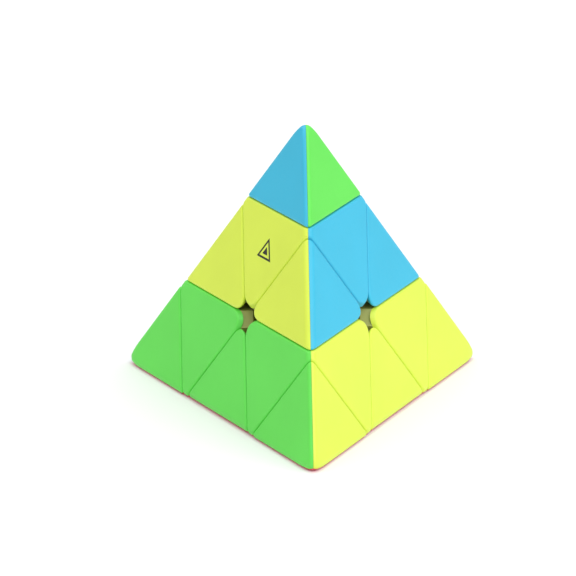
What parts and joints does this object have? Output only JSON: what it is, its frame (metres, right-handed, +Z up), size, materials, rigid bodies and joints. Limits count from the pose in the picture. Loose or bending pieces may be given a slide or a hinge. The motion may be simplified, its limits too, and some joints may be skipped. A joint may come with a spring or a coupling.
{
  "type": "pyramid twisty puzzle",
  "caption": "Pyramid-shaped twisty puzzle whose layers and tips turn on axes through its corners, with solid-coloured caps over a spring-loaded mechanism.",
  "frame": {"origin": "centre of the core, where the four turning axes meet", "axes": "+Z up through the top corner, -Y towards the front corner's side, +X to the right; it stands on its bottom side"},
  "size_m": [0.0944, 0.0818, 0.077],
  "materials": {
    "mechanism": "satin moulded",
    "steel": "zinc plated",
    "blue_cap": "satin, very finely frosted",
    "green_cap": "satin, very finely frosted",
    "yellow_cap": "satin, very finely frosted",
    "red_cap": "satin, very finely frosted"
  },
  "bodies": {
    "core": {"core": "mechanism", "axis_screws": "steel", "spring_washers": "steel", "tension_springs": "steel"},
    "top_centre": {"top_centre_body": "mechanism", "top_centre_back_cap": "green_cap", "top_centre_left_cap": "yellow_cap", "top_centre_right_cap": "blue_cap"},
    "front_centre": {"front_centre_body": "mechanism", "front_centre_bottom_cap": "red_cap", "front_centre_right_cap": "yellow_cap", "front_centre_left_cap": "green_cap"},
    "right_centre": {"right_centre_body": "mechanism", "right_centre_bottom_cap": "red_cap", "right_centre_back_cap": "blue_cap", "right_centre_right_cap": "yellow_cap"},
    "left_centre": {"left_centre_body": "mechanism", "left_centre_bottom_cap": "red_cap", "left_centre_left_cap": "green_cap", "left_centre_back_cap": "blue_cap"},
    "top_tip": {"top_tip_base": "mechanism", "top_tip_back_cap": "yellow_cap", "top_tip_left_cap": "blue_cap", "top_tip_right_cap": "green_cap"},
    "front_tip": {"front_tip_base": "mechanism", "front_tip_bottom_cap": "red_cap", "front_tip_right_cap": "yellow_cap", "front_tip_left_cap": "green_cap"},
    "right_tip": {"right_tip_base": "mechanism", "right_tip_bottom_cap": "red_cap", "right_tip_back_cap": "blue_cap", "right_tip_right_cap": "yellow_cap"},
    "left_tip": {"left_tip_base": "mechanism", "left_tip_bottom_cap": "red_cap", "left_tip_left_cap": "green_cap", "left_tip_back_cap": "blue_cap"},
    "top_front_edge": {"top_front_edge_body": "mechanism", "top_front_edge_right_cap": "blue_cap", "top_front_edge_left_cap": "yellow_cap"},
    "top_right_edge": {"top_right_edge_body": "mechanism", "top_right_edge_back_cap": "green_cap", "top_right_edge_right_cap": "blue_cap"},
    "top_left_edge": {"top_left_edge_body": "mechanism", "top_left_edge_left_cap": "yellow_cap", "top_left_edge_back_cap": "green_cap"},
    "front_left_edge": {"front_left_edge_body": "mechanism", "front_left_edge_bottom_cap": "red_cap", "front_left_edge_left_cap": "green_cap"},
    "front_right_edge": {"front_right_edge_body": "mechanism", "front_right_edge_right_cap": "yellow_cap", "front_right_edge_bottom_cap": "red_cap"},
    "back_edge": {"back_edge_body": "mechanism", "back_edge_back_cap": "blue_cap", "back_edge_bottom_cap": "red_cap"}
  },
  "joints": [
    {"name": "top_layer_turn", "type": "hinge", "parent": "core", "child": "top_centre", "pos_m": [0, 0, 0], "axis": [0, 0, 1], "range_deg": [-240, 120]},
    {"name": "front_layer_turn", "type": "hinge", "parent": "core", "child": "front_centre", "pos_m": [0, 0, 0], "axis": [0, -0.9428, -0.3333], "range_deg": [-240, 120]},
    {"name": "right_layer_turn", "type": "hinge", "parent": "core", "child": "right_centre", "pos_m": [0, 0, 0], "axis": [0.8165, 0.4714, -0.3333], "range_deg": [-240, 120]},
    {"name": "left_layer_turn", "type": "hinge", "parent": "core", "child": "left_centre", "pos_m": [0, 0, 0], "axis": [-0.8165, 0.4714, -0.3333], "range_deg": [-240, 120]},
    {"name": "top_tip_turn", "type": "hinge", "parent": "top_centre", "child": "top_tip", "pos_m": [0, 0, 0], "axis": [0, 0, 1], "continuous": true},
    {"name": "front_tip_turn", "type": "hinge", "parent": "front_centre", "child": "front_tip", "pos_m": [0, 0, 0], "axis": [0, -0.9428, -0.3333], "continuous": true},
    {"name": "right_tip_turn", "type": "hinge", "parent": "right_centre", "child": "right_tip", "pos_m": [0, 0, 0], "axis": [0.8165, 0.4714, -0.3333], "continuous": true},
    {"name": "left_tip_turn", "type": "hinge", "parent": "left_centre", "child": "left_tip", "pos_m": [0, 0, 0], "axis": [-0.8165, 0.4714, -0.3333], "continuous": true},
    {"name": "top_front_edge_turn", "type": "hinge", "parent": "top_centre", "child": "top_front_edge", "pos_m": [0, 0, 0], "axis": [0, -0.9428, -0.3333], "range_deg": [-240, 120]},
    {"name": "top_right_edge_turn", "type": "hinge", "parent": "top_centre", "child": "top_right_edge", "pos_m": [0, 0, 0], "axis": [0.8165, 0.4714, -0.3333], "range_deg": [-240, 120]},
    {"name": "top_left_edge_turn", "type": "hinge", "parent": "top_centre", "child": "top_left_edge", "pos_m": [0, 0, 0], "axis": [-0.8165, 0.4714, -0.3333], "range_deg": [-240, 120]},
    {"name": "front_left_edge_turn", "type": "hinge", "parent": "left_centre", "child": "front_left_edge", "pos_m": [0, 0, 0], "axis": [0, -0.9428, -0.3333], "range_deg": [-240, 120]},
    {"name": "front_right_edge_turn", "type": "hinge", "parent": "front_centre", "child": "front_right_edge", "pos_m": [0, 0, 0], "axis": [0.8165, 0.4714, -0.3333], "range_deg": [-240, 120]},
    {"name": "back_edge_turn", "type": "hinge", "parent": "right_centre", "child": "back_edge", "pos_m": [0, 0, 0], "axis": [-0.8165, 0.4714, -0.3333], "range_deg": [-240, 120]}
  ],
  "couplings": [
    {"joint": "top_front_edge_turn", "follows": "front_layer_turn", "ratio": 1},
    {"joint": "top_right_edge_turn", "follows": "right_layer_turn", "ratio": 1},
    {"joint": "top_left_edge_turn", "follows": "left_layer_turn", "ratio": 1},
    {"joint": "front_left_edge_turn", "follows": "front_layer_turn", "ratio": 1},
    {"joint": "front_right_edge_turn", "follows": "right_layer_turn", "ratio": 1},
    {"joint": "back_edge_turn", "follows": "left_layer_turn", "ratio": 1}
  ]
}
